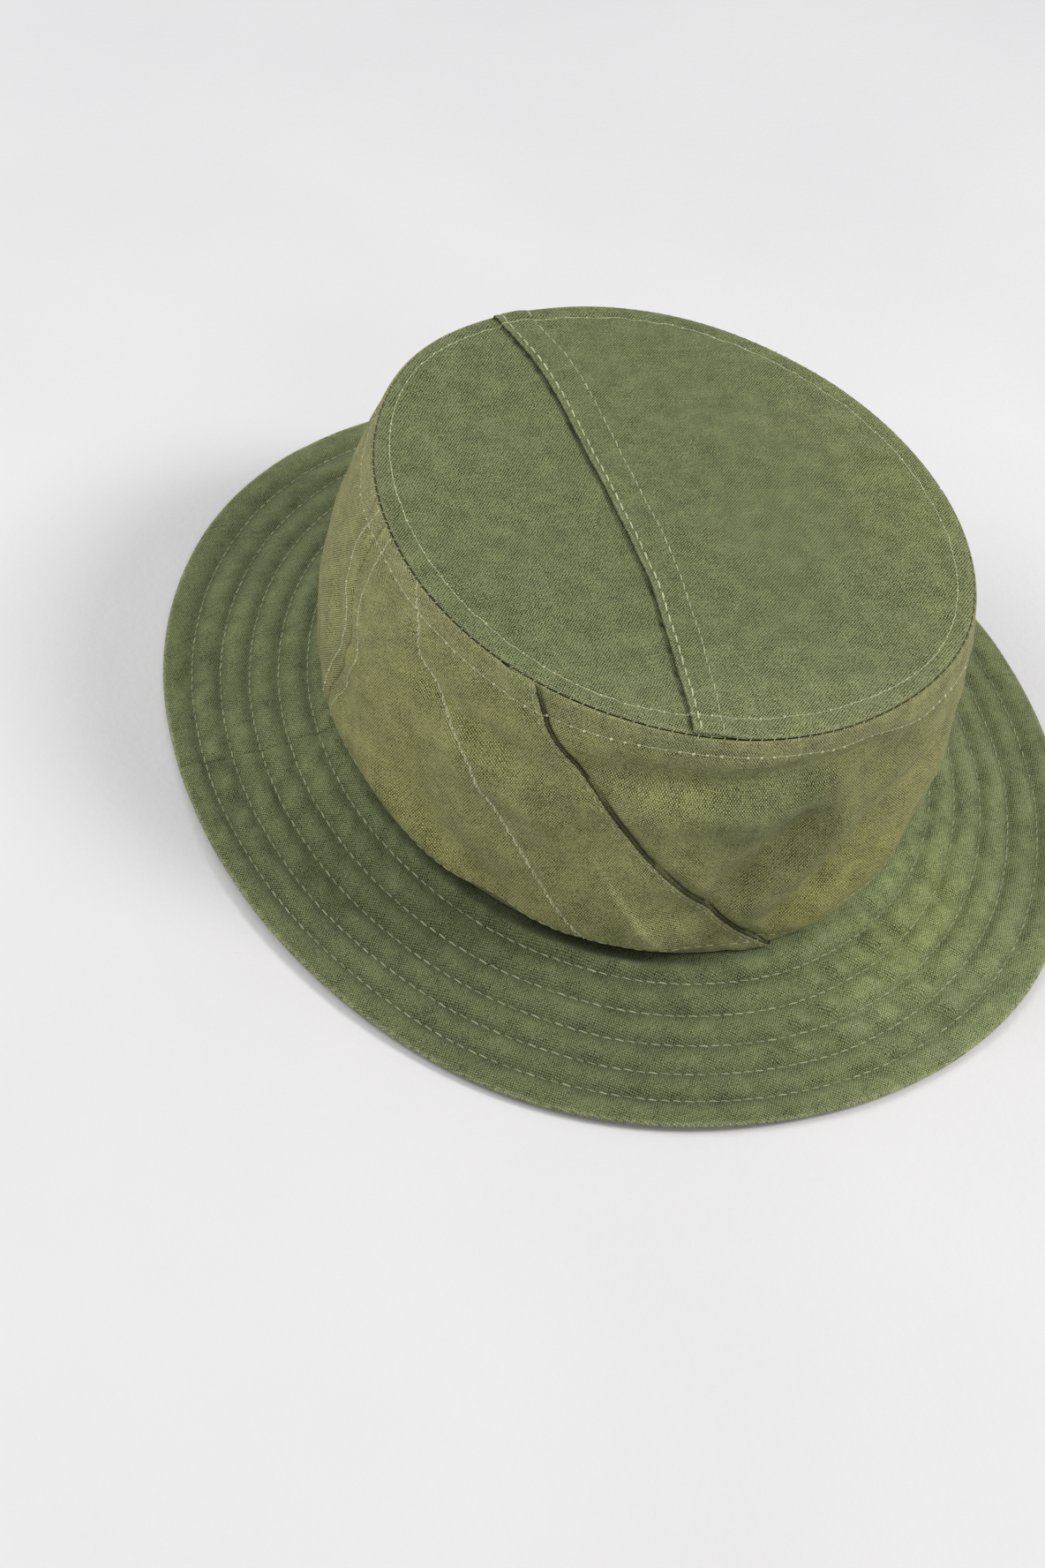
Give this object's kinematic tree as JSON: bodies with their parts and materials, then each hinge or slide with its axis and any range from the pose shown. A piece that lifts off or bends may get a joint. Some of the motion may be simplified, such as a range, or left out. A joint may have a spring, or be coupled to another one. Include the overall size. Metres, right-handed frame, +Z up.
{
  "type": "boonie hat",
  "caption": "Soft sun hat of green cotton canvas with a flat-topped oval crown, lapped panel seams and a round brim quilted with rings of stitches.",
  "frame": {"origin": "centre of the hat, on the surface that its brim stands on", "axes": "+Z up towards the tip of the crown, front of the hat towards -Y, the brim's side seams on the X axis"},
  "size_m": [0.28, 0.308, 0.0925],
  "materials": {
    "tip_canvas": "mossy green cotton canvas, matte, softly faded",
    "wall_canvas": "olive green cotton canvas, matte, uneven garment dye",
    "brim_canvas": "deep green cotton canvas, matte, worn pale along the edge",
    "interlining_felt": "stiff undyed felt",
    "lining_cotton": "light plain-weave cotton",
    "sweatband_twill": "cotton twill band",
    "sewing_thread": "pale olive polyester thread"
  },
  "bodies": {
    "root": {"tip_panel_left": "tip_canvas", "tip_panel_right": "tip_canvas", "wall_panel_front": "wall_canvas", "wall_panel_left": "wall_canvas", "wall_panel_back": "wall_canvas", "brim_top_front": "brim_canvas", "brim_top_back": "brim_canvas", "brim_interlining": "interlining_felt", "brim_under_front": "brim_canvas", "brim_under_back": "brim_canvas", "lining_tip": "lining_cotton", "lining_wall_left": "lining_cotton", "lining_wall_right": "lining_cotton", "sweatband": "sweatband_twill", "thread_tip_lap_edge": "sewing_thread", "thread_tip_lap_inner": "sewing_thread", "thread_tip_rim": "sewing_thread", "thread_wall_top": "sewing_thread", "thread_wall_bottom": "sewing_thread", "thread_wall_lap_edge": "sewing_thread", "thread_wall_lap_inner": "sewing_thread", "thread_left_seam": "sewing_thread", "thread_sweatband": "sewing_thread", "thread_brim_row_1": "sewing_thread", "thread_brim_row_2": "sewing_thread", "thread_brim_row_3": "sewing_thread", "thread_brim_row_4": "sewing_thread", "thread_brim_row_5": "sewing_thread"}
  },
  "joints": []
}
